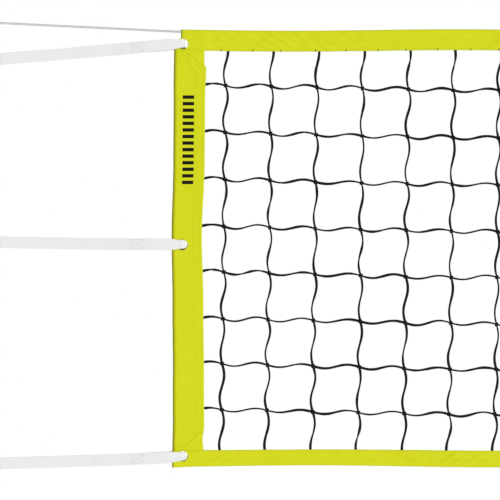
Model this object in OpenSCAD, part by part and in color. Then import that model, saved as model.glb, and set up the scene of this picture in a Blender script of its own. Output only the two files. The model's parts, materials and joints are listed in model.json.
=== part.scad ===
// Volleyball net, full length, with its headline cable, side straps and rings.
// Millimetres. Origin: centre of the left headline eye. +X along the net, +Y to the far side, +Z up.

/* [Overall] */
// distance between the outer edges of the two side tapes
net_length = 9754; // [3000:1:12000]
// top edge of the top tape to the bottom edge of the bottom tape
net_height = 960; // [700:1:1100]
// headline eye centre to the outer edge of the side tape
eye_reach = 456; // [200:1:900]
// rise of the headline from the tape's end out to the eye, in degrees
cable_rise = 2.8; // [0:0.1:10]

/* [Tapes] */
// height of the top tape
top_tape_h = 46; // [40:1:80]
// height of the bottom tape
bottom_tape_h = 36; // [25:1:80]
// width of each side tape
side_tape_w = 65; // [40:1:100]
// how far the top tape's ends stop short of the side tape's outer edge
top_tape_inset = 16.5; // [0:0.5:40]
// thickness of the coated tape fabric
tape_t = 0.6; // [0.4:0.1:1.2]
// outer half thickness of the top and bottom hems
hem_half = 4.1; // [3:0.1:6]
// outer half thickness of the side hems
side_half = 2.9; // [2:0.1:5]
// thickness of the corner reinforcements
patch_t = 0.5; // [0.3:0.1:0.8]

/* [Netting] */
// number of vertical cords
columns = 96; // [20:1:120]
// number of horizontal cords
rows = 8; // [4:1:12]
// distance between the horizontal cords
row_pitch = 101.83; // [50:0.01:130]
// thickness of the netting cord
cord_d = 4; // [2:0.1:4.4]

/* [Headline and bottom line] */
// radius of the headline cable
cable_r = 2.4; // [1.5:0.1:4]
// radius of the bottom line
rope_r = 2.5; // [1.5:0.1:4]
// radius of the hole through each headline thimble
eye_r = 6.5; // [4:0.1:10]
// centre-line radius of the cable round the thimble
loop_r = 11; // [8:0.1:16]
// width of the thimble
thimble_w = 8; // [6:0.1:12]

/* [Eyelets] */
// inner radius of the eyelets
eyelet_r = 12; // [6:0.1:15]
// radius of the eyelet flanges
flange_r = 15; // [9:0.1:20]
// eyelet centre to the outer edge of the side tape
eyelet_in = 21; // [15:0.5:40]
// depth of the top eyelet below the net's top edge
eyelet_top = 29.7; // [15:0.1:60]
// depth of the middle eyelet
eyelet_mid = 471.9; // [300:0.1:600]
// depth of the bottom eyelet
eyelet_bot = 937.2; // [800:0.1:1000]

/* [Straps] */
// eyelet centre to the ring's bar
strap_len = 451; // [200:1:900]
// webbing width
strap_w = 25.4; // [15:0.1:40]
// webbing thickness
strap_t = 1.6; // [1:0.1:3]
// fall of the top strap towards its outer end, in degrees
fall_top = 4.8; // [-10:0.1:30]
// fall of the middle strap
fall_mid = -0.8; // [-10:0.1:30]
// fall of the bottom strap
fall_bot = 2.2; // [-10:0.1:30]
// radius of the ring's wire
ring_wire = 2; // [1.5:0.1:4]
// centre-line half width of the ring
ring_half = 15.5; // [10:0.1:25]

/* [Hidden] */

$fn = 48;
yellow = [0.80, 0.85, 0.05];
grey = [0.86, 0.86, 0.87];
steel = [0.62, 0.63, 0.65];
dark = [0.05, 0.05, 0.055];

cable_z = -hem_half;                                  // cable's axis below the net's top edge
free_run = eye_reach + top_tape_inset;                // eye to the tape's end
top_z = -(free_run * tan(cable_rise) - hem_half);     // the net's top edge below the eye
far_eye = 2 * eye_reach + net_length;                 // right eye on X
mid_x = far_eye / 2;
hem_gap = hem_half - tape_t;
side_gap = side_half - tape_t;
leg_in = hem_half + 0.8 + 0.5;                        // inner face of a strap's two legs at the eyelet
inner_l = net_length - 2 * side_tape_w;
col_pitch = inner_l / columns;
row_margin = (net_height - top_tape_h - bottom_tape_h - (rows - 1) * row_pitch) / 2;

// the net's own corner: outer edge of the left side tape, top edge of the top tape
module at_net() { translate([eye_reach, 0, top_z]) children(); }
module other_end() { translate([far_eye, 0, 0]) mirror([1, 0, 0]) children(); }
// a shape drawn in X-Z and given a thickness from y0 to y1
module plate(y0, y1) { translate([0, y1, 0]) rotate([90, 0, 0]) linear_extrude(y1 - y0) children(); }
module bore_y(r, l) { rotate([90, 0, 0]) cylinder(r = r, h = l, center = true); }
module eyelet_holes(r) {
    for (z = [eyelet_top, eyelet_mid, eyelet_bot])
        translate([eyelet_in, 0, -z]) bore_y(r, 40);
}

// ---- round bar along a path in the X-Z plane, with mitred bends
function unit(v) = v / norm(v);
function normal(v) = [-v[1], v[0]];
function bisector(a, b) = let (n = unit(normal(a) + normal(b))) n / (n * normal(a));
module bar(p, r) {
    n = len(p);
    for (i = [0 : n - 2]) {
        d = unit(p[i + 1] - p[i]);
        a = i == 0 ? normal(d) : bisector(unit(p[i] - p[i - 1]), d);
        b = i == n - 2 ? normal(d) : bisector(d, unit(p[i + 2] - p[i + 1]));
        w = 3 * r;
        intersection() {
            translate([p[i][0], 0, p[i][1]]) rotate([0, atan2(d[0], d[1]), 0])
                translate([0, 0, -w]) cylinder(r = r, h = norm(p[i + 1] - p[i]) + 2 * w);
            plate(-w, w) polygon([p[i] + a * w, p[i] - a * w, p[i + 1] - b * w, p[i + 1] + b * w]);
        }
    }
}

// round bar along a path in the X-Z plane, with its corners rounded to a radius; each straight
// length stops a hair short of its bends, so that each is a plain closed solid
hair = 0.01;
function turn(a, b) = atan2(a[0] * b[1] - a[1] * b[0], a * b);
module rod(p, r, corner) {
    n = len(p);
    cut = [for (i = [0 : n - 1]) i == 0 || i == n - 1 ? 0 :
        corner * tan(abs(turn(unit(p[i] - p[i - 1]), unit(p[i + 1] - p[i]))) / 2)];
    for (i = [0 : n - 2]) {
        d = unit(p[i + 1] - p[i]);
        a = p[i] + d * cut[i];
        translate([a[0], 0, a[1]]) rotate([0, atan2(d[0], d[1]), 0])
            translate([0, 0, hair]) cylinder(r = r, h = norm(p[i + 1] - p[i]) - cut[i] - cut[i + 1] - 2 * hair);
    }
    if (n > 2) for (i = [1 : n - 2]) {
        d = unit(p[i] - p[i - 1]);
        e = unit(p[i + 1] - p[i]);
        w = turn(d, e);
        s = w > 0 ? p[i] - d * cut[i] : p[i] + e * cut[i];
        c = s + corner * (w > 0 ? normal(d) : normal(-e));
        translate([c[0], 0, c[1]]) rotate([90, 0, 0]) rotate([0, 0, atan2(s[1] - c[1], s[0] - c[0])])
            rotate_extrude(angle = abs(w), $fn = 96) translate([corner, 0]) circle(r = r);
    }
}

// ---- headline: a cable with an eye at each end, laid round a thimble and clamped by a ferrule
ferrule_x = 38;      // near end of the ferrule from the eye's centre
ferrule_l = 26;      // its length
leg_gap = 5.4;       // distance between its two bores
bend_x = ferrule_x - 2;
lean = asin(loop_r / bend_x);
up_a = atan2(leg_gap, bend_x) + acos(loop_r / norm([bend_x, leg_gap]));
// eye frame to X-Z: the standing part falls by cable_rise as it runs to the net
function fall(p) = [p[0] * cos(cable_rise) + p[1] * sin(cable_rise),
    p[1] * cos(cable_rise) - p[0] * sin(cable_rise)];
function across(p) = [far_eye - p[0], p[1]];
loaded = [fall(loop_r * [sin(lean), -cos(lean)]), fall([bend_x, 0]), fall([ferrule_x + ferrule_l, 0])];
run = [loaded[2], [free_run, -free_run * tan(cable_rise)]];
dead = [fall(loop_r * [cos(up_a), sin(up_a)]), fall([bend_x, leg_gap]),
    fall([ferrule_x + ferrule_l + 5, leg_gap])];
module headline_cable() {
    color(grey) rod([run[0], run[1], across(run[1]), across(run[0])], cable_r, 200);
}
// the cable's end, from the ferrule round the thimble and back: a node of its own, to be meshed finely
module eye_turn() {
    rod(loaded, cable_r, 20);
    rod(dead, cable_r, 20);
    rotate([0, cable_rise, 0]) rotate([90, 0, 0]) rotate([0, 0, up_a])
        rotate_extrude(angle = 270 + lean - up_a, $fn = 96) translate([loop_r, 0]) circle(r = cable_r);
}
module headline_eye_left() { color(grey) eye_turn(); }
module headline_eye_right() { color(grey) other_end() eye_turn(); }
module thimble() {
    rotate([90, 0, 0]) rotate_extrude($fn = 96) difference() {
        translate([eye_r, -thimble_w / 2]) square([loop_r + 1.6 - eye_r, thimble_w]);
        translate([loop_r, 0]) circle(r = cable_r + 0.1);
        translate([loop_r, -cable_r - 0.1]) square([5, 2 * cable_r + 0.2]);
    }
}
module headline_thimble_left() { color(steel) thimble(); }
module headline_thimble_right() { color(steel) other_end() thimble(); }
module ferrule() {
    rotate([0, cable_rise, 0]) translate([ferrule_x, 0, 0]) rotate([0, 90, 0]) rotate([0, 0, 180])
        linear_extrude(ferrule_l) difference() {
            union() {
                circle(r = 4.2);
                translate([leg_gap, 0]) circle(r = 4.2);
                translate([0, -4.2]) square([leg_gap, 8.4]);
            }
            circle(r = cable_r + 0.05);
            translate([leg_gap, 0]) circle(r = cable_r + 0.05);
        }
}
module headline_ferrule_left() { color(steel) ferrule(); }
module headline_ferrule_right() { color(steel) other_end() ferrule(); }

// ---- hems: strips folded over a line, open towards the netting
// section of a fold of height h, rounded at the top, open at the bottom
module fold_section(h, half, t) {
    difference() {
        union() {
            translate([0, -half]) circle(r = half);
            translate([-half, -h]) square([2 * half, h - half]);
        }
        translate([0, -half]) circle(r = half - t);
        translate([t - half, -h - 1]) square([2 * (half - t), h - half + 1]);
    }
}
// a fold of length l along +X, its crest at z = 0
module fold(l, h, half) {
    rotate([90, 0, 90]) linear_extrude(l) fold_section(h, half, tape_t);
}
module top_tape() {
    color(yellow) at_net() difference() {
        translate([top_tape_inset, 0, 0]) fold(net_length - 2 * top_tape_inset, top_tape_h, hem_half);
        translate([eyelet_in, 0, -eyelet_top]) bore_y(eyelet_r + 0.9, 40);
        translate([net_length - eyelet_in, 0, -eyelet_top]) bore_y(eyelet_r + 0.9, 40);
    }
}
module bottom_tape() {
    color(yellow) at_net() difference() {
        translate([0, 0, -net_height]) mirror([0, 0, 1]) fold(net_length, bottom_tape_h, hem_half);
        translate([eyelet_in, 0, -eyelet_bot]) bore_y(eyelet_r + 0.9, 40);
        translate([net_length - eyelet_in, 0, -eyelet_bot]) bore_y(eyelet_r + 0.9, 40);
    }
}
side_top = 10;       // the side tape's ends are caught inside the top and bottom hems
side_bot = 10;
module side_tape() {
    at_net() difference() {
        translate([0, 0, side_bot - net_height]) rotate([0, 0, 90])
            linear_extrude(net_height - side_top - side_bot) fold_section(side_tape_w, side_half, tape_t);
        // its outer corner stops under the top strap, clear of the top tape's end
        translate([-5, -20, -eyelet_top + 8.7]) cube([top_tape_inset + 5.5, 40, 40]);
        eyelet_holes(eyelet_r + 0.9);
    }
}
module side_tape_left() { color(yellow) side_tape(); }
module side_tape_right() { color(yellow) other_end() side_tape(); }

// ---- corner reinforcements, one layer on each face of the side tape
module two_faces() {
    plate(side_half, side_half + patch_t) children();
    plate(-side_half - patch_t, -side_half) children();
}
module patch_top() {
    at_net() two_faces() difference() {
        polygon([[18, -12], [side_tape_w - 0.5, -12], [side_tape_w - 0.5, -79], [27.5, -49.5], [18, -49.5]]);
        translate([eyelet_in, -eyelet_top]) circle(r = eyelet_r + 0.9);
    }
}
module patch_bottom() {
    at_net() two_faces() difference() {
        polygon([[3.5, -917], [26, -917], [side_tape_w - 0.5, -882], [side_tape_w - 0.5, -948], [3.5, -948]]);
        translate([eyelet_in, -eyelet_bot]) circle(r = eyelet_r + 0.9);
    }
}
module corner_patch_top_left() { color(yellow) patch_top(); }
module corner_patch_top_right() { color(yellow) other_end() patch_top(); }
module corner_patch_bottom_left() { color(yellow) patch_bottom(); }
module corner_patch_bottom_right() { color(yellow) other_end() patch_bottom(); }

// ---- netting: one web of cords, its border cords sewn inside the hems
module netting() {
    color(dark) at_net() plate(-cord_d / 2, cord_d / 2) difference() {
        translate([50, -net_height + 22]) square([net_length - 100, net_height - 52]);
        for (i = [0 : columns]) {
            x0 = i == 0 ? 53 : side_tape_w + (i - 0.5) * col_pitch + cord_d / 2;
            x1 = i == columns ? net_length - 53 : side_tape_w + (i + 0.5) * col_pitch - cord_d / 2;
            for (j = [0 : rows]) {
                z1 = j == 0 ? -33 : -top_tape_h - row_margin - (j - 1) * row_pitch - cord_d / 2;
                z0 = j == rows ? 25 - net_height : -top_tape_h - row_margin - j * row_pitch + cord_d / 2;
                translate([x0, z0]) square([x1 - x0, z1 - z0]);
            }
        }
    }
}
module bottom_line() {
    color(grey) at_net() translate([8, 0, hem_half - net_height]) rotate([0, 90, 0])
        cylinder(r = rope_r, h = net_length - 16);
}

// ---- eyelets: barrel and front flange in one, a washer on the far side
function stack(z) = z == eyelet_mid ? side_half : hem_half;
module eyelets() {
    at_net() for (z = [eyelet_top, eyelet_mid, eyelet_bot])
        translate([eyelet_in, 0, -z]) rotate([90, 0, 0]) difference() {
            union() {
                translate([0, 0, -stack(z) - 0.8]) cylinder(r = eyelet_r + 0.8, h = 2 * stack(z) + 1.6);
                translate([0, 0, stack(z)]) cylinder(r = flange_r, h = 0.8);
            }
            cylinder(r = eyelet_r, h = 30, center = true);
        }
}
module washers() {
    at_net() for (z = [eyelet_top, eyelet_mid, eyelet_bot])
        translate([eyelet_in, stack(z), -z]) rotate([-90, 0, 0]) difference() {
            cylinder(r = flange_r, h = 0.8);
            translate([0, 0, -1]) cylinder(r = eyelet_r + 0.85, h = 3);
        }
}
module eyelets_left() { color(yellow) eyelets(); }
module eyelets_right() { color(yellow) other_end() eyelets(); }
module eyelet_washers_left() { color(yellow) washers(); }
module eyelet_washers_right() { color(yellow) other_end() washers(); }

// ---- straps: webbing looped through the eyelet and sewn back, with a sewn loop for the ring
// edges of a band of thickness t along an open path
function side(p, w) = [for (i = [0 : len(p) - 1])
    let (a = i == 0 ? normal(unit(p[1] - p[0])) :
        i == len(p) - 1 ? normal(unit(p[i] - p[i - 1])) :
        bisector(unit(p[i] - p[i - 1]), unit(p[i + 1] - p[i])))
    p[i] + a * w];
function band(p, t) = let (a = side(p, t / 2), b = side(p, -t / 2), n = len(p))
    concat(a, [for (i = [n - 1 : -1 : 0]) b[i]]);
function arc(c, r, a0, a1, n) = [for (i = [0 : n]) let (a = a0 + (a1 - a0) * i / n) c + r * [cos(a), sin(a)]];

ring_gap = 0.5;
loop_c = ring_wire + ring_gap + strap_t / 2;
lay = strap_t / 2 - 0.02;
leg = leg_in + strap_t / 2;
bight = 3.8;
far = -strap_len - loop_c * cos(12);
fold_back = [[52 - strap_len, lay], [9 - strap_len, lay]];
ring_turn = arc([-strap_len, 0], loop_c, 48, 168, 5);
module strap() {
    intersection() {
        translate([0, 0, -strap_w / 2]) linear_extrude(strap_w) union() {
            polygon(band(concat(fold_back, ring_turn, [[far, 0]]), strap_t));
            polygon(band(concat([[far, 0]], [for (i = [5 : -1 : 0]) [ring_turn[i][0], -ring_turn[i][1]]],
                [[9 - strap_len, -lay], [-84, -lay], [-54, -leg]],
                arc([bight - 3.4, 3.4 - leg], 3.4, -90, 0, 4), [[bight, 0]]), strap_t));
            polygon(band(concat([[bight, 0]], arc([bight - 3.4, leg - 3.4], 3.4, 0, 90, 4),
                [[-54, leg], [-84, lay], [-116, lay]]), strap_t));
        }
        plate(-20, 20) polygon([[-strap_len - 9, -strap_w / 2 - 1], [-22, -strap_w / 2 - 1],
            [-22, -strap_w / 2], [-10, -10], [bight + 3, -10], [bight + 3, 10], [-10, 10],
            [-22, strap_w / 2], [-22, strap_w / 2 + 1], [-strap_len - 9, strap_w / 2 + 1]]);
    }
}
module at_eyelet(z, drop) {
    at_net() translate([eyelet_in, 0, -z]) rotate([0, -drop, 0]) children();
}
ring_leg = 6;
module ring() {
    union() {
        bar([[-strap_len - ring_leg, ring_half], [-strap_len, ring_half],
            [-strap_len, -ring_half], [-strap_len - ring_leg, -ring_half]], ring_wire);
        translate([-strap_len - ring_leg, 0, 0]) rotate([90, 0, 0]) rotate([0, 0, 90])
            rotate_extrude(angle = 180, $fn = 96) translate([ring_half, 0]) circle(r = ring_wire);
    }
}
module strap_top_left() { color(grey) at_eyelet(eyelet_top, fall_top) strap(); }
module strap_mid_left() { color(grey) at_eyelet(eyelet_mid, fall_mid) strap(); }
module strap_bottom_left() { color(grey) at_eyelet(eyelet_bot, fall_bot) strap(); }
module strap_top_right() { color(grey) other_end() at_eyelet(eyelet_top, fall_top) strap(); }
module strap_mid_right() { color(grey) other_end() at_eyelet(eyelet_mid, fall_mid) strap(); }
module strap_bottom_right() { color(grey) other_end() at_eyelet(eyelet_bot, fall_bot) strap(); }
module ring_top_left() { color(steel) at_eyelet(eyelet_top, fall_top) ring(); }
module ring_mid_left() { color(steel) at_eyelet(eyelet_mid, fall_mid) ring(); }
module ring_bottom_left() { color(steel) at_eyelet(eyelet_bot, fall_bot) ring(); }
module ring_top_right() { color(steel) other_end() at_eyelet(eyelet_top, fall_top) ring(); }
module ring_mid_right() { color(steel) other_end() at_eyelet(eyelet_mid, fall_mid) ring(); }
module ring_bottom_right() { color(steel) other_end() at_eyelet(eyelet_bot, fall_bot) ring(); }

headline_cable();
headline_eye_left();
headline_eye_right();
headline_thimble_left();
headline_thimble_right();
headline_ferrule_left();
headline_ferrule_right();
top_tape();
bottom_tape();
side_tape_left();
side_tape_right();
corner_patch_top_left();
corner_patch_top_right();
corner_patch_bottom_left();
corner_patch_bottom_right();
netting();
bottom_line();
eyelets_left();
eyelets_right();
eyelet_washers_left();
eyelet_washers_right();
strap_top_left();
strap_mid_left();
strap_bottom_left();
strap_top_right();
strap_mid_right();
strap_bottom_right();
ring_top_left();
ring_mid_left();
ring_bottom_left();
ring_top_right();
ring_mid_right();
ring_bottom_right();
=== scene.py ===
"""Volleyball net: the looks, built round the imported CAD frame. Metres; +X along the net, +Z up."""
import json
import math

import bpy
import numpy as np
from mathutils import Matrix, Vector


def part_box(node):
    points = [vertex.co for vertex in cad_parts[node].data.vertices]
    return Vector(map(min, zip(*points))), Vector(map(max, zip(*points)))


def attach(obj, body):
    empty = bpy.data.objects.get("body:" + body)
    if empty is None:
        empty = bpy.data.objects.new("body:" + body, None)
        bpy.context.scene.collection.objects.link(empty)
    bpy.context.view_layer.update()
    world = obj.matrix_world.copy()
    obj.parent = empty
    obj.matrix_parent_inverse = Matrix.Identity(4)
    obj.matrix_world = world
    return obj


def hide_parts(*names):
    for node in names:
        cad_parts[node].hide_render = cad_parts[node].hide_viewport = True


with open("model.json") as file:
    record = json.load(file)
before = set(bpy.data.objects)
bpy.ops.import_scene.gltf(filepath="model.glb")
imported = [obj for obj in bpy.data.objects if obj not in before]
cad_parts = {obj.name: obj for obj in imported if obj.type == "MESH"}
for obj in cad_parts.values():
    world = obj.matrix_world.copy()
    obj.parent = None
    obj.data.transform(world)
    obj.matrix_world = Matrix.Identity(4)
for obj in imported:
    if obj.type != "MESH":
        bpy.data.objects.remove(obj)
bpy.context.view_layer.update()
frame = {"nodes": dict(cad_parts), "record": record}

MM = 0.001
TURN = 2 * math.pi
rng = np.random.default_rng(7)


# ---------------- sizes, worked out from the frame
def lo_hi(node):
    lo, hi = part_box(node)
    return np.array(lo), np.array(hi)


tape_lo, tape_hi = lo_hi("bottom_tape")
NET_X0, NET_X1 = tape_lo[0], tape_hi[0]          # outer edges of the side tapes
NET_BOTTOM = tape_lo[2]
top_lo, top_hi = lo_hi("top_tape")
NET_TOP, TOP_EDGE = top_hi[2], top_lo[2]          # crest and lower edge of the top tape
TOP_X0, TOP_X1 = top_lo[0], top_hi[0]
BOTTOM_EDGE = tape_hi[2]                          # upper edge of the bottom tape
side_lo, side_hi = lo_hi("side_tape_left")
SIDE_W = side_hi[0] - side_lo[0]
NET_L = NET_X1 - NET_X0
HEM_HALF = top_hi[1]                              # outer half thickness of the top and bottom hems
SIDE_HALF = side_hi[1]
TAPE_T = 0.6 * MM
COLUMNS, ROWS, ROW_PITCH = 96, 8, 101.83 * MM
COL_PITCH = (NET_L - 2 * SIDE_W) / COLUMNS
ROW_TOP = TOP_EDGE - ((TOP_EDGE - BOTTOM_EDGE) - (ROWS - 1) * ROW_PITCH) / 2

JOINTS = {j["name"]: j for j in frame["record"]["behaviour"]["joints"]}
MOUNTS = {m["name"]: m for m in frame["record"]["mounts"]}
EYELET_R, FLANGE_R = 11 * MM, 14 * MM             # the lip's inner and outer edges
BORE_R = EYELET_R + 0.9 * MM                      # the hole cut in the cloth
HOLE_OFF = {"top": (0.4, 1.3), "mid": (-1.1, 1.1), "bottom": (-0.7, 0.1)}     # in mm
SIDES = {"left": 1, "right": -1}
LEVELS = ("top", "mid", "bottom")


def pivot(level, side):
    return np.array(JOINTS[f"strap_{level}_{side}_swing"]["pos_m"])


def hole(level, side):
    """Middle of an eyelet's hole: a hand-set eyelet sits a little off its mark."""
    along, drop = HOLE_OFF[level]
    return pivot(level, side) + np.array([SIDES[side] * along, 0, -drop]) * MM


# ---------------- camera
VIEW_W = 1.1                                      # width of the picture at the net
CAM_BACK = 7.0
cam_data = bpy.data.cameras.new("camera")
cam_data.sensor_width = 36
cam_data.lens = 36 * CAM_BACK / VIEW_W
cam_data.clip_end = 200
camera = bpy.data.objects.new("camera", cam_data)
bpy.context.scene.collection.objects.link(camera)
camera.location = (NET_X0 + 0.1683, -CAM_BACK, NET_TOP - 0.484)
camera.rotation_euler = (math.pi / 2, 0, 0)
bpy.context.scene.camera = camera


# ---------------- mesh helpers
def new_object(name, verts, faces, uv=None, smooth=True):
    mesh = bpy.data.meshes.new(name)
    mesh.from_pydata(np.asarray(verts, float).tolist(), [], [tuple(f) for f in faces])
    if uv is not None:
        layer = mesh.uv_layers.new(name="UVMap")
        loops = np.empty(len(mesh.loops), int)
        mesh.loops.foreach_get("vertex_index", loops)
        layer.data.foreach_set("uv", np.asarray(uv, float)[loops].ravel())
    mesh.polygons.foreach_set("use_smooth", [smooth] * len(mesh.polygons))
    mesh.update()
    obj = bpy.data.objects.new(name, mesh)
    bpy.context.scene.collection.objects.link(obj)
    return obj


class Build:
    """Collects grids of points into one mesh."""

    def __init__(self):
        self.v, self.f, self.uv, self.n = [], [], [], 0

    def grid(self, p, uv=None, wrap=False, flip=False):
        """p is (rows, columns, 3); wrap joins the last column to the first."""
        r, c = p.shape[:2]
        a = self.n + np.arange(r * c).reshape(r, c)
        if wrap:
            a = np.concatenate([a, a[:, :1]], 1)
        q = np.stack([a[:-1, :-1], a[:-1, 1:], a[1:, 1:], a[1:, :-1]], -1).reshape(-1, 4)
        self.f.extend((q[:, ::-1] if flip else q).tolist())
        self.v.append(p.reshape(-1, 3))
        self.uv.append(np.zeros((r * c, 2)) if uv is None else uv.reshape(-1, 2))
        self.n += r * c
        return a

    def fan(self, ring, flip=False):
        ring = [int(i) for i in ring]
        self.f.append(ring[::-1] if flip else ring)

    def object(self, name, smooth=True):
        return new_object(name, np.concatenate(self.v), self.f, np.concatenate(self.uv), smooth)


def unit(v):
    return v / (np.linalg.norm(v, axis=-1, keepdims=True) + 1e-12)


def run_length(path):
    return np.concatenate([[0], np.cumsum(np.linalg.norm(np.diff(path, axis=0), axis=1))])


def tube(build, path, wide, deep=None, turn=0.0, sides=8):
    """An oval tube of half widths wide and deep round a path that never runs along Y; turn is its
    section's angle along the way."""
    path = np.asarray(path, float)
    deep = wide if deep is None else deep
    n = len(path)
    t = unit(np.gradient(path, axis=0))
    s = unit(np.cross(t, (0.0, 1.0, 0.0)))
    u = np.cross(s, t)
    a = np.arange(sides) * TURN / sides
    wide, deep, turn = (np.broadcast_to(np.asarray(x, float), n)[:, None] for x in (wide, deep, turn))
    cx, cy = wide * np.cos(a), deep * np.sin(a)
    x, y = cx * np.cos(turn) - cy * np.sin(turn), cx * np.sin(turn) + cy * np.cos(turn)
    p = path[:, None] + x[..., None] * s[:, None] + y[..., None] * u[:, None]
    d = run_length(path)
    uv = np.stack(np.broadcast_arrays(d[:, None], a[None] / (TURN)), -1)
    ids = build.grid(p, uv, wrap=True, flip=True)
    build.fan(ids[0, :-1])
    build.fan(ids[-1, :-1], flip=True)


def noise1(x, seed, scale):
    """Smooth noise from -1 to 1 along x."""
    r = np.random.default_rng(seed)
    k = r.uniform(0.4, 1.7, 6) * TURN / scale
    ph = r.uniform(0, TURN, 6)
    return np.mean([np.sin(k[i] * x + ph[i]) for i in range(6)], 0) * 1.6


def shell(name, p, t, out):
    """A closed sheet: p is its outer skin as (rows, columns, 3), t its thickness, and out +1 or -1 for
    the side of the grid's normal that faces outwards."""
    nrm = unit(np.cross(np.gradient(p, axis=0), np.gradient(p, axis=1)))
    r, c = p.shape[:2]
    uv = np.stack(np.meshgrid(run_length(p[:, c // 2]), run_length(p[r // 2]), indexing="ij"), -1)
    b = Build()
    skins = b.grid(p, uv, flip=out < 0), b.grid(p - out * t * nrm, uv, flip=out > 0)
    outer, inner = (np.concatenate([g[0, :], g[1:, -1], g[-1, -2::-1], g[-2:0:-1, 0]]).tolist()
                    for g in skins)
    for i in range(len(outer)):
        j = (i + 1) % len(outer)
        q = [outer[i], inner[i], inner[j], outer[j]]
        b.f.append(q if out > 0 else q[::-1])
    return b.object(name)


def cut(obj, cutters):
    """Cuts solids out of a mesh, and deletes them."""
    for c in cutters:
        m = obj.modifiers.new("cut", "BOOLEAN")
        m.operation, m.solver, m.object = "DIFFERENCE", "EXACT", c
    dg = bpy.context.evaluated_depsgraph_get()
    mesh = bpy.data.meshes.new_from_object(obj.evaluated_get(dg))
    obj.modifiers.clear()
    obj.data = mesh
    for c in cutters:
        bpy.data.objects.remove(c)


def drill(at, r, half=20 * MM, n=48):
    """A cutter: a cylinder along Y."""
    b = Build()
    a = np.arange(n) * TURN / n
    ring = np.stack([at[0] + r * np.cos(a), np.zeros(n), at[2] + r * np.sin(a)], -1)
    p = np.stack([ring + [0, -half, 0], ring + [0, half, 0]])
    ids = b.grid(p, wrap=True, flip=True)
    b.fan(ids[0, :-1])
    b.fan(ids[1, :-1], flip=True)
    return b.object("drill")


def spread(*legs):
    """Stations along a line, from the first number on; each further leg is (its end, its step)."""
    out = [legs[0]]
    for end, step in legs[1:]:
        n = max(1, round(abs(end - out[-1]) / step))
        out.extend(np.linspace(out[-1], end, n + 1)[1:])
    return np.array(out)


def join(name, objs):
    """One object from several, keeping their materials."""
    bpy.ops.object.select_all(action="DESELECT")
    for o in objs:
        o.select_set(True)
    bpy.context.view_layer.objects.active = objs[0]
    bpy.ops.object.join()
    objs[0].name = name
    return objs[0]


# ---------------- materials
class Nodes:
    def __init__(self, name):
        self.mat = bpy.data.materials.new(name)
        self.mat.use_nodes = True
        self.t = self.mat.node_tree
        self.bsdf = self.t.nodes["Principled BSDF"]

    def add(self, kind):
        return self.t.nodes.new(kind)

    def link(self, a, b):
        self.t.links.new(a, b)

    def set(self, **values):
        for k, v in values.items():
            self.bsdf.inputs[k.replace("_", " ")].default_value = v

    def coords(self, which="Object", scale=(1, 1, 1)):
        c = self.add("ShaderNodeTexCoord")
        m = self.add("ShaderNodeMapping")
        m.inputs["Scale"].default_value = scale
        self.link(c.outputs[which], m.inputs["Vector"])
        return m.outputs["Vector"]

    def uv(self):
        """The two numbers of UV, along and across."""
        n = self.add("ShaderNodeSeparateXYZ")
        self.link(self.coords("UV"), n.inputs[0])
        return n.outputs[0], n.outputs[1]

    def noise(self, vec, scale, detail=4.0, rough=0.5):
        n = self.add("ShaderNodeTexNoise")
        n.inputs["Scale"].default_value = scale
        n.inputs["Detail"].default_value = detail
        n.inputs["Roughness"].default_value = rough
        self.link(vec, n.inputs["Vector"])
        return n.outputs["Fac"]

    def wave(self, vec, scale, direction):
        n = self.add("ShaderNodeTexWave")
        n.bands_direction, n.wave_profile = direction, "SIN"
        n.inputs["Scale"].default_value = scale
        n.inputs["Distortion"].default_value = 0.0
        self.link(vec, n.inputs["Vector"])
        return n.outputs["Fac"]

    def math(self, op, *values):
        n = self.add("ShaderNodeMath")
        n.operation = op
        for i, x in enumerate(values):
            if isinstance(x, (int, float)):
                n.inputs[i].default_value = x
            else:
                self.link(x, n.inputs[i])
        return n.outputs[0]

    def total(self, *terms, base=0.0):
        """base and the sum of (value, weight) terms."""
        for value, weight in terms:
            base = self.math("ADD", self.math("MULTIPLY", value, weight), base)
        return base

    def ramp(self, fac, stops):
        n = self.add("ShaderNodeValToRGB")
        e = n.color_ramp.elements
        while len(e) < len(stops):
            e.new(0.5)
        for el, (at, col) in zip(e, stops):
            el.position, el.color = at, (*col, 1) if len(col) == 3 else col
        self.link(fac, n.inputs["Fac"])
        return n.outputs["Color"]

    def multiply(self, a, b):
        n = self.add("ShaderNodeMix")
        n.data_type, n.blend_type = "RGBA", "MULTIPLY"
        n.inputs[0].default_value = 1.0
        self.link(a, n.inputs[6])
        self.link(b, n.inputs[7])
        return n.outputs[2]

    def bump(self, height, strength, distance, normal=None):
        n = self.add("ShaderNodeBump")
        n.inputs["Strength"].default_value = strength
        n.inputs["Distance"].default_value = distance
        self.link(height, n.inputs["Height"])
        if normal is not None:
            self.link(normal, n.inputs["Normal"])
        return n.outputs["Normal"]

    def color(self, out):
        self.link(out, self.bsdf.inputs["Base Color"])

    def rough(self, fac, lo, hi):
        """fac from 0..1 gives a roughness of lo..hi."""
        self.link(self.total((fac, hi - lo), base=lo), self.bsdf.inputs["Roughness"])

    def normal(self, out):
        self.link(out, self.bsdf.inputs["Normal"])


YELLOW = (0.676, 0.716, 0.007)


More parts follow.
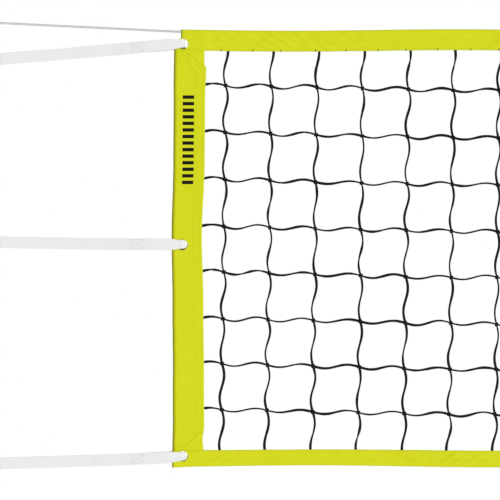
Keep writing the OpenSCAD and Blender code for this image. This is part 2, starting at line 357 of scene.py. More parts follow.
def vinyl(name, fold=None, length=None):
    """Coated fabric, darkened by painted shade along its fold and towards its turned-in ends: fold is how
    far one lies from the open edge, and a cloth of this length is turned in at both ends."""
    n = Nodes(name)
    c = n.coords()
    big, mid, fine = n.noise(c, 9, 3), n.noise(c, 60, 5, 0.6), n.noise(c, 900, 3)
    base = n.ramp(n.total((big, 0.6), (mid, 0.4)),
                  [(0.30, [x * y for x, y in zip(YELLOW, (0.975, 0.977, 0.94))]), (0.52, YELLOW),
                   (0.72, [x * y for x, y in zip(YELLOW, (1.02, 1.018, 1.15))])])
    along, across = n.uv()
    off = 1.0
    if fold:
        off = n.math("ABSOLUTE", n.math("SUBTRACT", across, fold))
    if length:
        off = n.math("MINIMUM", along, n.math("SUBTRACT", length, along))
    reach = 0.012 if fold else 0.006
    # painted shade: the colour darkens near the fold line and near both ends, standing in for the shade
    # where the cloth turns away from the light
    edge_shade = n.ramp(n.total((off, 1 / reach), (mid, 0.12), base=-0.06),
                  [(0.0, (0.36, 0.35, 0.50)), (0.2, (0.44, 0.43, 0.58)), (0.35, (0.60, 0.59, 0.72)),
                   (0.5, (0.79, 0.785, 0.85)), (0.68, (0.93, 0.93, 0.96)), (0.85, (1, 1, 1))])
    n.color(n.multiply(base, edge_shade))
    n.rough(mid, 0.40, 0.56)
    # the scrim shows faintly through the coating
    weave = n.math("MULTIPLY", n.wave(c, 330, "X"), n.wave(c, 330, "Z"))
    nrm = n.bump(weave, 0.16, 0.0002)
    nrm = n.bump(mid, 0.22, 0.0012, nrm)
    n.normal(n.bump(fine, 0.10, 0.0002, nrm))
    n.set(Specular_IOR_Level=0.15)
    return n.mat


def cord_black():
    n = Nodes("netting_cord")
    # two sets of plaited strands, slanting opposite ways round the cord
    along, around = n.uv()
    a, b = (n.math("SINE", n.total((along, TURN / 0.0042), (around, way * TURN * 4))) for way in (1, -1))
    plait = n.total((n.math("MAXIMUM", a, b), 0.5), base=0.5)
    hair = n.noise(n.coords(), 2500, 2)
    n.color(n.ramp(n.total((plait, 0.7), (hair, 0.3)),
                   [(0.15, (0.002, 0.002, 0.0025)), (0.6, (0.006, 0.006, 0.007)),
                    (0.95, (0.018, 0.018, 0.020))]))
    n.rough(hair, 0.70, 0.9)
    n.normal(n.bump(hair, 0.25, 0.0002, n.bump(plait, 0.7, 0.0005)))
    n.set(Specular_IOR_Level=0.16)
    return n.mat


def webbing():
    n = Nodes("webbing")
    along, across = n.uv()
    # chevron ribs: each of the weave's bands slants the other way from its neighbour
    band = n.math("PINGPONG", across, 0.0032)
    rib = n.math("SINE", n.total((along, TURN / 0.0021), (band, 0.9 * TURN / 0.0021)))
    warp = n.math("SINE", n.math("MULTIPLY", across, TURN / 0.00107))
    weave = n.total((rib, 0.3), (warp, 0.2), base=0.5)
    fuzz, broad = n.noise(n.coords(), 1800, 3), n.noise(n.coords(), 30, 3)
    n.color(n.ramp(n.total((weave, 0.55), (fuzz, 0.2), (broad, 0.25)),
                   [(0.12, (0.75, 0.75, 0.752)), (0.5, (0.875, 0.875, 0.877)), (0.85, (0.93, 0.93, 0.932))]))
    n.rough(fuzz, 0.6, 0.8)
    n.normal(n.bump(fuzz, 0.15, 0.0002, n.bump(weave, 0.42, 0.0004)))
    n.set(Specular_IOR_Level=0.3, Sheen_Weight=0.2)
    return n.mat


def metal(name, colour, rough, grain=(600, 600, 40)):
    n = Nodes(name)
    line = n.noise(n.coords("Object", grain), 1.0, 4, 0.6)
    spot = n.noise(n.coords(), 140, 4)
    n.color(n.ramp(n.total((line, 0.5), (spot, 0.5)),
                   [(0.3, [x * 0.82 for x in colour]), (0.55, colour),
                    (0.75, [min(1, x * 1.1) for x in colour])]))
    n.rough(spot, rough - 0.07, rough + 0.12)
    n.normal(n.bump(line, 0.12, 0.0002))
    n.set(Metallic=1.0)
    return n.mat


def wire_cable():
    n = Nodes("headline_wire")
    along, around = n.uv()
    lay = n.math("SINE", n.total((along, TURN / 0.0055), (around, TURN * 2)))
    grime_and_shade = n.noise(n.coords(), 120, 3)
    n.color(n.ramp(n.total((lay, 0.22), (grime_and_shade, 0.4), base=0.3),
                   [(0.2, (0.42, 0.42, 0.43)), (0.5, (0.66, 0.66, 0.67)), (0.8, (0.78, 0.78, 0.79))]))
    n.rough(grime_and_shade, 0.28, 0.42)
    n.normal(n.bump(lay, 0.25, 0.0004))
    n.set(Specular_IOR_Level=0.5, Coat_Weight=0.3)
    return n.mat


def plain(name, colour, rough, bump_scale=500, bump=0.15, vary=0.1, **extra):
    n = Nodes(name)
    c = n.coords()
    f, g = n.noise(c, bump_scale, 4), n.noise(c, bump_scale / 12, 3)
    n.color(n.ramp(g, [(0.3, [x * (1 - vary) for x in colour]),
                       (0.7, [min(1, x * (1 + vary)) for x in colour])]))
    n.rough(f, rough - 0.06, rough + 0.08)
    n.normal(n.bump(f, bump, 0.0002))
    n.set(**extra)
    return n.mat


def eyelet_plastic():
    """Moulded yellow, with painted shade darkening the inside of the bore towards its far end; UV x is 1
    there.
    """
    n = Nodes("eyelet_plastic")
    c = n.coords()
    grain, patchy = n.noise(c, 700, 4), n.noise(c, 58, 3)
    base = n.ramp(patchy, [(0.3, (0.59, 0.65, 0.021)), (0.7, (0.65, 0.71, 0.023))])
    # painted shade on the bore's wall, where the lip keeps the light out
    grime_and_shade = n.ramp(n.total((n.uv()[0], 1.0), (grain, 0.1), base=-0.05),
                   [(0.04, (1, 1, 1)), (0.2, (0.03, 0.028, 0.05))])
    n.color(n.multiply(base, grime_and_shade))
    n.rough(grain, 0.30, 0.44)
    n.normal(n.bump(grain, 0.08, 0.0002))
    n.set(Specular_IOR_Level=0.4)
    return n.mat


TAPE = vinyl("coated_tape")
CORD = cord_black()
WEB = webbing()
CABLE = wire_cable()
STEEL = metal("ring_steel", (0.60, 0.61, 0.63), 0.26)
ALU = metal("ferrule_alloy", (0.72, 0.73, 0.75), 0.36, (40, 600, 600))
EYELET = eyelet_plastic()
THREAD = plain("sewing_thread", (0.60, 0.65, 0.03), 0.6, 2200, 0.3, 0.12, Sheen_Weight=0.2)
WHITE_THREAD = plain("strap_thread", (0.70, 0.70, 0.72), 0.65, 2200, 0.3, 0.1, Sheen_Weight=0.2)
INK = plain("print_ink", (0.004, 0.003, 0.002), 0.6, 900, 0.12, 0.25, Specular_IOR_Level=0.15)
LINE = plain("bottom_line", (0.62, 0.62, 0.60), 0.7, 900, 0.3, 0.12)


def dress(obj, mat):
    obj.data.materials.clear()
    obj.data.materials.append(mat)
    return obj


# ---------------- the way the net hangs
def lean(x, z):
    """How far the netting is drawn sideways: its foot is spread outwards at both ends."""
    down = (TOP_EDGE - z) / (TOP_EDGE - BOTTOM_EDGE)
    return np.cos(np.pi * (x - NET_X0) / NET_L) * (1.1 - 11.3 * down) * MM


def dip(x):
    """Slow rise and fall of the netting's rows along the net."""
    return 7.8 * MM * np.sin(TURN * (0.3 - (x - NET_X0)) / 2.034)


def smooth(x, a, b):
    t = np.clip((x - a) / (b - a), 0, 1)
    return t * t * (3 - 2 * t)


def strap_pull(z):
    """How much of the middle strap's pull reaches this height, from 0 to 1."""
    down = NET_TOP - z
    above = smooth(down, 0.27, 0.465)
    below = 1 - 0.5 * smooth(down, 0.455, 0.60) - 0.5 * smooth(down, 0.60, 0.90)
    return np.minimum(above, below)


def edge_pull(z):
    """Sideways bow of a side tape's edges: its foot spreads, and the middle strap draws it out."""
    down = (NET_TOP - z) / (NET_TOP - NET_BOTTOM)
    return (-2.2 + 4.7 * down + 1.2 * np.sin(down * np.pi * 2 + 0.4) + 4.6 * strap_pull(z)) * MM


def sway(level, x):
    """Slow rise and fall of the top and bottom hems along the net."""
    along = x - NET_X0
    if level == "top":
        return -1.7 * MM * np.sin(np.pi * (along - 0.092) / 0.346)
    droop = 1.5 * MM * (1 - smooth(np.minimum(along, NET_L - along), 0, 0.045))
    return 2.2 * MM * np.sin(np.pi * (along - 0.095) / 0.405) - droop


# ---------------- hems
# crest, depth, +1 for a crest at the top, half thickness at the open edge, seed of the noise
HEMS = {"top": (NET_TOP, NET_TOP - TOP_EDGE, 1, 2.6 * MM, 11),
        "bottom": (NET_BOTTOM, BOTTOM_EDGE - NET_BOTTOM, -1, 2.7 * MM, 31)}
DRAG = {"top": 1.0, "bottom": 0.25}                # height of the slanting pull lines, in mm
SEAM_DOWN = {"top": 23 * MM, "bottom": 17.3 * MM}  # the seam that closes the cable's or the line's channel
EDGE_SEAM = 4 * MM                                 # the seam along each hem's open edge
CORD_ROOM, EASE = 2.2 * MM, 0.8 * MM               # half the least thickness over a cord, and its easing
HEM_TIP = 4.5 * MM                                 # how far from a hem's ends its faces turn in


def hem_face(level, x, down, face):
    """A point of a hem's outer skin: down from its crest, on face -1 near or +1 far. Its faces draw in
    to the netting at the open edge, but not over the side tapes."""
    crest, h, sign, pinch, seed = HEMS[level]
    half = HEM_HALF
    x, down = np.broadcast_arrays(np.asarray(x, float), np.asarray(down, float))
    k = np.clip((down - half) / (h - half), 0, 1)
    from_end = np.minimum(x - NET_X0, NET_X1 - x)
    inner = smooth(from_end, SIDE_W + 4 * MM, SIDE_W + 22 * MM)
    y = half + (pinch - half) * inner * k ** 0.8
    # slow slack in the cloth, slanting pull lines and a pucker along the lower seam, in mm
    slack = 0.55 * noise1(x + 0.35 * down * sign + 0.9 * face, seed, 0.30)
    slack = slack + 0.45 * noise1(x + 1.25 * down, seed + 1, 0.085)
    pull = np.maximum(0, np.sin(TURN * (x - 1.7 * down) / 0.071 + 2.5 * noise1(x, seed + 2, 0.5))) ** 3
    pull = pull * np.maximum(0, noise1(x, seed + 3, 0.42)) * np.sin(np.pi * k) ** 0.7
    drag = np.sin(TURN * (x - 1.75 * down) / 0.031 + 2 * noise1(x, seed + 7, 0.25))
    drag = drag * np.clip(0.65 + noise1(x, seed + 8, 0.5), 0, 1)
    pucker = 0.16 * np.sin(TURN * x / 0.017 + 3 * noise1(x, seed + 4, 0.2))
    pucker = pucker * np.exp(-((k - 0.92) / 0.16) ** 2)
    room = np.sin(np.pi * np.clip(k * 0.94 + 0.03, 0, 1)) ** 0.6 * (down >= half * 0.9)
    seam = np.exp(-((down - SEAM_DOWN[level]) / (2.2 * MM)) ** 2)
    # the cloth is held flat round the eyelets, where the straps' two legs straddle it
    loose = (0.35 + 0.65 * inner) * (0.3 + 0.7 * smooth(from_end, 30 * MM, 60 * MM))
    swell = (2.3 * slack + 4.8 * pull + DRAG[level] * drag) * loose * room * (1 - 0.7 * seam)
    y = y + (swell - 0.45 * seam * room + pucker * inner) * MM
    # and can't be drawn in past the cords between its faces
    above = (y - CORD_ROOM - EASE) / EASE
    y = np.where(above < 0, CORD_ROOM + EASE * np.exp(np.minimum(above, 0)), y)
    # the ends are turned in
    tip = x - (TOP_X0 if level == "top" else NET_X0), (TOP_X1 if level == "top" else NET_X1) - x
    turned = 1 - np.clip(np.minimum(*tip) / HEM_TIP, 0, 1)
    y = y * (1 - 0.55 * turned ** 2)
    edge = 0.5 * MM * noise1(x, seed + 5, 0.45) + 0.22 * MM * noise1(x, seed + 6, 0.09)
    z = crest + sign * (edge * (0.3 + 0.7 * k) - down)
    z = z + sway(level, x) * (1 if level == "top" else 1 - 0.5 * k)
    if level == "bottom":
        x = x - 3.3 * MM * (smooth(NET_X0 - x, -0.1, 0) - smooth(x - NET_X1, -0.1, 0))
    return np.stack([x, face * y, z], -1)


def long_hem(name, level, x):
    h, sign = HEMS[level][1:3]
    down = np.linspace(h, HEM_HALF, 18)
    near = hem_face(level, x[:, None], down[None], -1)
    far = hem_face(level, x[:, None], down[None, ::-1], 1)
    a = np.linspace(np.pi, 0, 9)[1:-1]
    half = far[:, :1, 1]
    top = np.stack(np.broadcast_arrays(near[:, -1:, 0], half * np.cos(a)[None],
                                       near[:, -1:, 2] + sign * HEM_HALF * np.sin(a)[None]), -1)
    return shell(name, np.concatenate([near, top, far], 1), TAPE_T, sign)


def ends_fine(x0, x1, fine=4 * MM, coarse=11 * MM, reach=0.8):
    """Stations along a hem, closer together towards its ends."""
    return spread(x0, (x0 + 3 * MM, 0.75 * MM), (x0 + reach, fine), (x1 - reach, coarse),
                  (x1 - 3 * MM, fine), (x1, 0.75 * MM))


top_tape = long_hem("top_tape_cloth", "top", ends_fine(TOP_X0, TOP_X1))
bottom_tape = long_hem("bottom_tape_cloth", "bottom", ends_fine(NET_X0, NET_X1))
for tape, level in ((top_tape, "top"), (bottom_tape, "bottom")):
    cut(tape, [drill(hole(level, s), BORE_R) for s in SIDES])


FOLD_W = 7 * MM                                   # how far in a side tape's folded edge is rounded


def side_surface(side, z, w, face, lift=0.0):
    """A point on a side tape's cloth, w in from its folded outer edge, on face -1 near or +1 far."""
    out = SIDES[side]
    w = np.asarray(w, float)
    k = np.clip((w - FOLD_W) / (SIDE_W - FOLD_W), 0, 1)
    y = SIDE_HALF * np.sqrt(1 - (1 - np.clip(w / FOLD_W, 0, 1)) ** 2) + (2.75 * MM - SIDE_HALF) * k ** 1.2
    seed = 50 if out > 0 else 70
    zz = z + 0.25 * w
    ripple = 0.55 * noise1(zz + 0.7 * face, seed, 0.16) + 0.35 * noise1(z - 0.6 * w, seed + 1, 0.06)
    in_hem = smooth(z, TOP_EDGE - 12 * MM, TOP_EDGE - 2 * MM)
    in_hem = in_hem + smooth(-z, -BOTTOM_EDGE - 12 * MM, -BOTTOM_EDGE - 2 * MM)
    room = np.sin(np.pi * np.clip(k * 0.9 + 0.05, 0, 1)) ** 0.7 * (w >= FOLD_W) * (1 - in_hem)
    # creases fan out from the tight corners
    down = NET_TOP - z
    top_crease = np.exp(-(((down - 0.052) - 0.62 * (w - 0.025)) / 0.0045) ** 2) * np.clip(k * 2, 0, 1)
    up = z - NET_BOTTOM
    line = 0.028 + (down - 0.056) / 2.07
    along_seam = smooth(down, 0.05, 0.07) * (1 - smooth(down, 0.09, 0.125))
    top_crease = top_crease + 0.8 * np.exp(-((w - line) / 0.0035) ** 2) * along_seam
    low_crease = np.exp(-(((up - 0.048) - 0.70 * (w - 0.025)) / 0.0050) ** 2) * np.clip(k * 2, 0, 1)
    y = y + (0.8 * ripple * room + (0.95 * top_crease + 0.75 * low_crease) * (1 - in_hem)) * MM + lift
    # the inner edge is drawn in above the top reinforcement's slant, and dips just above the bottom hem
    narrow = 4.2 * (1 - smooth(down, 0.0775, 0.0805)) + 3.0 * np.exp(-((down - 0.901) / 0.017) ** 2)
    slack = 4.2 - 2.6 * strap_pull(z) + 2.2 * (1 - smooth(down, 0.08, 0.16))
    w = w - (narrow - slack) * MM * smooth(w, 0.35 * SIDE_W, SIDE_W)
    w = w - edge_pull(z) + 0.35 * MM * noise1(z, seed + 3, 0.22) + 0.2 * MM * noise1(z, seed + 4, 0.05)
    x = (NET_X0 if out > 0 else NET_X1) + out * w
    return np.stack(np.broadcast_arrays(x, face * y, z), -1)


def side_tape(side):
    z = spread(side_hi[2], (NET_TOP - 0.074, 3.5 * MM), (NET_TOP - 0.084, 1.0 * MM),
               (NET_TOP - 0.13, 3.5 * MM), (NET_BOTTOM + 0.11, 4.5 * MM), (side_lo[2], 3.5 * MM))
    ws = np.linspace(SIDE_W, FOLD_W, 36)
    round_w = FOLD_W - FOLD_W * np.sin(np.linspace(0, np.pi / 2, 8)[1:])
    near = np.concatenate([ws, round_w[:-1]])
    w = np.concatenate([near, [0.0], near[::-1]])
    face = np.concatenate([-np.ones(len(near)), [0], np.ones(len(near))])
    Z, W = np.meshgrid(z, w, indexing="ij")
    F = np.broadcast_to(face, Z.shape)
    p = side_surface(side, Z, W, F)
    obj = shell(f"side_tape_cloth_{side}", p, TAPE_T, -SIDES[side])
    # painted shade darkens this cloth along its folded outer edge, half way round its section
    obj.data.materials.append(vinyl(f"coated_side_tape_{side}", float(run_length(p[len(p) // 2])[-1]) / 2))
    # its corner above the top eyelet is cut away, as the top tape stops short of the edge
    x_end = TOP_X0 if side == "left" else TOP_X1
    xs = sorted((x_end + SIDES[side] * 0.0005, x_end - SIDES[side] * 0.0305))
    zs = pivot("top", side)[2] + 8.7 * MM, NET_TOP + 0.02
    corners = [[x, y, z] for x in xs for y in (-0.02, 0.02) for z in zs]
    notch = new_object("notch", corners, [(0, 1, 3, 2), (4, 6, 7, 5), (0, 4, 5, 1), (2, 3, 7, 6),
                                          (0, 2, 6, 4), (1, 5, 7, 3)], smooth=False)
    cut(obj, [drill(hole(level, side), BORE_R) for level in LEVELS] + [notch])
    return obj


side_tapes = {s: side_tape(s) for s in SIDES}


# ---------------- corner reinforcements
def patch(name, side, outline, level):
    """A layer on each face of the side tape. outline is (in from the fold, down from the top), in mm."""
    corners = np.array(outline) * MM
    rows = spread(corners[:, 1].min(), (corners[:, 1].max(), 2.5 * MM))
    ends = []
    for r in rows:
        hits = [w0 + (w1 - w0) * (r - d0) / (d1 - d0)
                for (w0, d0), (w1, d1) in zip(corners, np.roll(corners, -1, 0))
                if d0 != d1 and min(d0, d1) - 1e-9 <= r <= max(d0, d1) + 1e-9]
        ends.append((min(hits), max(hits)))
    left, right = np.array(ends).T
    keep = right - left > 1.0 * MM
    rows, left, right = rows[keep], left[keep], right[keep]
    t = np.linspace(0, 1, 16)
    W = left[:, None] + (right - left)[:, None] * t
    Z = NET_TOP - np.repeat(rows[:, None], len(t), 1)
    parts = []
    for face in (-1, 1):
        p = side_surface(side, Z, W, face, lift=0.55 * MM)
        o = shell(name, p, 0.5 * MM, -face * SIDES[side])
        cut(o, [drill(hole(level, side), BORE_R)])
        parts.append(o)
    return join(name, parts)


PATCH_TOP = [(18, 12), (64.3, 12), (64.3, 79), (27.5, 49.5), (18, 48)]
PATCH_LOW = [(4, 918), (26, 917), (64.3, 882), (64.3, 946), (4, 946)]
patches = {}
for s in SIDES:
    patches["top", s] = patch(f"corner_patch_top_{s}_cloth", s, PATCH_TOP, "top")
    patches["bottom", s] = patch(f"corner_patch_bottom_{s}_cloth", s, PATCH_LOW, "bottom")


# ---------------- netting
def row_z(j, x):
    return ROW_TOP - j * ROW_PITCH + dip(x) + (0.39 * (j - 3.6) ** 2 - 2) * MM


def col_x(i):
    return NET_X0 + SIDE_W + (i + 0.5) * COL_PITCH


wave_amp = rng.uniform(0.82, 1.18, (2, COLUMNS + 2, ROWS + 2)) * 4.4 * MM
RINGS = 14                                        # stations on a cord from one crossing to the next
TUCK = 9 * MM                                     # how far the cords run on inside the tapes


def crossing(i, j):
    """Where vertical i meets horizontal j."""
    x = col_x(i)
    for _ in range(2):
        z = row_z(j, x)
        x = col_x(i) + lean(col_x(i), z)
    return x, z


jit = np.random.default_rng(5).normal(0, 0.7 * MM, (COLUMNS, ROWS, 2))
CROSS = np.array([[crossing(i, j) for j in range(ROWS)] for i in range(COLUMNS)]) + jit


def wavy(line, across, pitch, amp, drift, phase):
    """A cord from hem to hem: line is its two ends and its crossings between them, across how far aside
    each crossing lies, and drift the slow shape it keeps to past its first and last ones."""
    last, points = len(line) - 2, []
    for k in range(last + 1):
        a, b = line[k], line[k + 1]
        for m in range(RINGS + (k == last)):
            at = a + (b - a) * m / RINGS
            if k == 0:
                base, v = across[0] + drift(at) - drift(b), 1 - abs(b - at) / pitch
            elif k == last:
                base, v = across[-1] + drift(at) - drift(a), abs(at - a) / pitch
            else:
                base, v = across[k - 1] + (across[k] - across[k - 1]) * m / RINGS, m / RINGS
            bow = math.cos(math.pi * v + phase(k)) * abs(math.sin(math.pi * v)) * (0 < k < last)
            points.append((at, base + amp[k] * math.sin(TURN * v), 0.9 * MM * bow))
    return np.array(points)


def vertical(i):
    line = [TOP_EDGE + TUCK, *CROSS[i, :, 1], BOTTOM_EDGE - TUCK]
    p = wavy(line, CROSS[i, :, 0], ROW_PITCH, wave_amp[0, i], lambda z: lean(col_x(i), z), lambda j: i + j)
    return p[:, [1, 2, 0]]


def horizontal(j):
    line = [NET_X0 + SIDE_W - TUCK, *CROSS[:, j, 0], NET_X1 - SIDE_W + TUCK]
    p = wavy(line, CROSS[:, j, 1], COL_PITCH, -wave_amp[1, :, j], dip, lambda i: 1.7 * i + j)
    return p[:, [0, 2, 1]]


FLAT = (3.0 * MM, 1.9 * MM)                       # half widths of the flat braid


def braid(build, p, seed):
    d = run_length(p)
    # sewn in flat at both ends, twisted between them
    free = smooth(np.minimum(d, d[-1] - d), 10 * MM, 50 * MM)
    turn = (2.6 * noise1(d, seed, 0.33) + (seed * 1.3) % np.pi - np.pi / 2) * free
    swell = 1 + 0.08 * noise1(d, seed + 1, 0.05)
    tube(build, p, FLAT[0] * swell, FLAT[1] * swell, turn, sides=8)


verts_b, horiz_b = Build(), Build()
for i in range(COLUMNS):
    braid(verts_b, vertical(i), 100 + i)
for j in range(ROWS):
    braid(horiz_b, horizontal(j), 300 + j)
net_v = verts_b.object("netting_uprights")
net_h = horiz_b.object("netting_rows")

# each knot: one cord's bight wrapped on the slant round the other
knot_b = Build()
a, c = np.linspace(0, TURN, 9), np.arange(5) * TURN / 5
knot_uv = np.stack(np.broadcast_arrays(np.linspace(0, 0.018, 9)[:, None], c[None] / (TURN)), -1)
for x, z in CROSS.reshape(-1, 2):
    tip = rng.uniform(-0.3, 0.3)
    for s, (rx, ry) in ((1, (4.1, 3.1)), (-1, (3.3, 2.8))):
        # a closed loop leaning across the crossing
        ang = s * math.pi / 4 + tip
        run = rx * MM * np.cos(a)
        p = np.stack([x + run * math.cos(ang), ry * MM * np.sin(a),
                      z + run * math.sin(ang) + 0.5 * MM * np.sin(2 * a)], -1)[:-1]
        t = unit(np.roll(p, -1, 0) - np.roll(p, 1, 0))
        bi = unit(np.cross(t, unit(p - np.array([x, 0, z]))))[:, None]
        ring = np.cos(c)[:, None] * np.cross(bi, t[:, None]) + np.sin(c)[:, None] * 1.25 * bi
        ring = p[:, None] + 1.6 * MM * ring
        knot_b.grid(np.concatenate([ring, ring[:1]]), knot_uv, wrap=True, flip=True)
net_k = knot_b.object("netting_knots")


# ---------------- straps
STRAP_LEN, STRAP_W, STRAP_T = 451 * MM, 25.4 * MM, 1.5 * MM
RING_X, LOOP_R, LEG, BIGHT = -STRAP_LEN, 3.3 * MM, 6.2 * MM, 3.8 * MM
LAY = 0.78 * MM                                   # half the distance between two layers lying flat
SEWN = (-87 * MM, -114 * MM), (-402 * MM, -438 * MM)    # from where to where its ends are sewn down
FALL = {"top": 4.8, "mid": -0.8, "bottom": 2.2}         # in degrees, towards the outer end


def arc(cx, cy, r, a0, a1, n):
    a = np.radians(np.linspace(a0, a1, n))
    return np.stack([cx + r * np.cos(a), cy + r * np.sin(a)], -1)


def soften(p, step, rounds):
    """Resamples a path evenly and rounds its corners."""
    d = run_length(p)
    n = max(4, round(d[-1] / step))
    q = np.stack([np.interp(np.linspace(0, d[-1], n), d, p[:, i]) for i in range(p.shape[1])], -1)
    for _ in range(rounds):
        q[1:-1] = 0.25 * q[:-2] + 0.5 * q[1:-1] + 0.25 * q[2:]
    return q


def front_y(u):
    """The front leg's distance across: it draws slowly away to clear the eyelet's lip."""
    return -LAY - (LEG - LAY) * smooth(u, -240 * MM, -40 * MM)


def strap_route():
    """The band's middle line: the return leg, through the eyelet, along the front, round the ring and back.
    As (along, across) with the net towards +along."""
    back = np.array([[-116, 0], [-84, 0], [-54, 6.2]]) * MM
    back[:2, 1] = front_y(back[:2, 0]) + 2 * LAY
    bight = arc(BIGHT - 3.4 * MM, LEG - 3.4 * MM, 3.4 * MM, 90, 0, 7)
    turn = arc(BIGHT - 3.4 * MM, 3.4 * MM - LEG, 3.4 * MM, 0, -90, 7)
    along = np.array([-40, -80, -120, -160, -200, -240, -330, -442]) * MM
    front = np.stack([along, front_y(along)], -1)
    loop = arc(RING_X, 0, LOOP_R, -48, -312, 17)
    fold = [[-442, 0.78], [-399, 0.78]]
    return [back, bight, turn, front, loop, np.array(fold) * MM]


SAG = {"top": (1.2 * MM, 1.0), "mid": (1.2 * MM, 1.0), "bottom": (2.4 * MM, 0.6)}


def strap_sag(level, u):
    """How far the band's weight draws it down; the lowest strap hangs lowest near the net."""
    depth, power = SAG[level]
    return -depth * np.sin(np.pi * np.clip(-u / STRAP_LEN, 0, 1) ** power)


def strap_half_width(u):
    """The band is gathered to pass through the eyelet."""
    return STRAP_W / 2 - 3.9 * MM * smooth(u, -34 * MM, 2 * MM)


def place(level, side, p):
    """From a strap's own frame (along, across, up) to the net's."""
    t = math.radians(FALL[level])
    u, y, v = p[..., 0], p[..., 1], p[..., 2]
    at = pivot(level, side)
    x = u * math.cos(t) - v * math.sin(t)
    z = u * math.sin(t) + v * math.cos(t)
    return np.stack([at[0] + SIDES[side] * x, at[1] + y, at[2] + z], -1)


def ribbon_section(n_flat=13, n_edge=3):
    """A closed flat section: (across from -1 to 1, face offset from -1 to 1), rounded selvedges."""
    s = np.linspace(-1, 1, n_flat)
    edge = np.linspace(-np.pi / 2, np.pi / 2, n_edge + 2)[1:-1]
    top = np.stack([s * 0.975, np.ones(n_flat)], -1)
    right = np.stack([0.975 + 0.025 * np.cos(edge), -np.sin(edge)], -1)
    bottom = np.stack([s[::-1] * 0.975, -np.ones(n_flat)], -1)
    left = np.stack([-0.975 - 0.025 * np.cos(edge), np.sin(edge)], -1)
    return np.concatenate([top, right, bottom, left])


def strap(level, side):
    """The band, and the route of the cord it stands for."""
    legs = strap_route()
    whole = soften(np.concatenate(legs), 2.2 * MM, 2)
    d = run_length(whole)
    seed = 400 + 10 * LEVELS.index(level) + (side == "right")
    u = whole[:, 0]
    tan = unit(np.gradient(whole, axis=0))
    nrm = np.stack([-tan[:, 1], tan[:, 0]], -1)
    s_across, s_face = ribbon_section().T[:, None]
    half = strap_half_width(u) + 0.18 * MM * noise1(d, seed, 0.06)
    across = s_across * half[:, None]
    # the band cups where the round hole gathers it
    gather = smooth(u, -45 * MM, -4 * MM)[:, None]
    cup = 1.3 * MM * gather * (s_across ** 2 - 0.4)
    thick = s_face * STRAP_T / 2 * (1 - 0.25 * s_across ** 8)
    # its free length waves and twists a little
    wav = 0.35 * MM * noise1(d, seed + 1, 0.12) * smooth(-u, 0.12, 0.16) * smooth(u, -0.38, -0.34)
    twist = 0.09 * noise1(d, seed + 2, 0.30) * smooth(-u, 0.13, 0.2) * smooth(u, -0.37, -0.3)
    off = thick + cup + wav[:, None] + across * twist[:, None]
    flat = whole[:, None] + nrm[:, None] * off[..., None]
    v = across + strap_sag(level, u)[:, None]
    p = place(level, side, np.concatenate([flat, v[..., None]], -1))
    b = Build()
    uv = np.stack(np.broadcast_arrays(d[:, None], s_across * STRAP_W / 2), -1)
    ids = b.grid(p, uv, wrap=True, flip=side == "left")
    b.fan(ids[0, :-1], flip=side == "right")
    b.fan(ids[-1, :-1], flip=side == "left")
    obj = dress(b.object(f"strap_{level}_{side}_web"), WEB)

    # out of the eyelet, along the front and round the ring
    run = soften(np.concatenate([legs[2], legs[3], legs[4]]), 6 * MM, 0)
    run = np.concatenate([run, np.zeros((len(run), 1))], 1)
    run[:, 2] = strap_sag(level, run[:, 0])
    return obj, place(level, side, run)


def capsule_row(build, at, along, r, length, up, sides=4):
    """Short stitches: at their middles, along their directions; arrays of points and unit vectors."""
    along = np.asarray(along, float)
    s = unit(np.cross(along, up))
    u = np.cross(s, along)
    a = np.arange(sides) * TURN / sides + np.pi / 4
    for k in range(len(at)):
        rings = []
        for t, w in ((-0.5, 0.35), (-0.3, 1.0), (0.3, 1.0), (0.5, 0.35)):
            c = at[k] + along[k] * t * length + u[k] * r * (-0.45 if abs(t) > 0.4 else 0.25)
            rings.append(c + r * w * (np.cos(a)[:, None] * s[k] + np.sin(a)[:, None] * u[k]))
        ids = build.grid(np.array(rings), wrap=True, flip=True)
        build.fan(ids[0, :-1])
        build.fan(ids[-1, :-1], flip=True)


def strap_stitches(level, side):
    """Box and cross where each end of the band is sewn down, both faces."""
    b = Build()
    for x0, x1 in SEWN:
        w = STRAP_W / 2 - 3.0 * MM
        c = [(x0, -w), (x1, -w), (x1, w), (x0, w), (x0, -w)]
        lines = list(zip(c[:-1], c[1:])) + [(c[0], c[2]), (c[1], c[3])]
        for (a0, b0), (a1, b1) in lines:
            length = math.hypot(a1 - a0, b1 - b0)
            n = max(2, round(length / (3.1 * MM)))
            t = (np.arange(n) + 0.5) / n
            u, v = a0 + (a1 - a0) * t, b0 + (b1 - b0) * t
            for face in (-1, 1):
                y = front_y(u) + LAY + face * (LAY + STRAP_T / 2 + 0.10 * MM)
                p = np.stack([u, y, v + strap_sag(level, u)], -1)
                ahead = p + np.array([a1 - a0, 0, b1 - b0]) / length * MM
                p, ahead = place(level, side, p), place(level, side, ahead)
                capsule_row(b, p, unit(ahead - p), 0.36 * MM, 2.5 * MM, np.tile([0, face, 0], (n, 1)))
    return dress(b.object(f"strap_{level}_{side}_stitches"), WHITE_THREAD)


for s in SIDES:
    for level in LEVELS:
        body = f"strap_{level}_{s}"
        band, route = strap(level, s)
        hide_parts(body)
        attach(band, body)
        stitches = strap_stitches(level, s)
        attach(stitches, body)
        ring = frame["nodes"][f"ring_{level}_{s}"]
        dress(ring, STEEL)


# ---------------- headline
EYE = {s: np.array(MOUNTS[f"headline_eye_{s}"]["pos_m"]) for s in SIDES}
CABLE_R, TURN_R, LEG_GAP, RISE = 2.4 * MM, 11 * MM, 5.4 * MM, 2.8
FERRULE_X, FERRULE_L = 38 * MM, 26 * MM
FREE_RUN = NET_X0 - EYE["left"][0] + 5 * MM         # where the cable turns level into the hem, from the eye


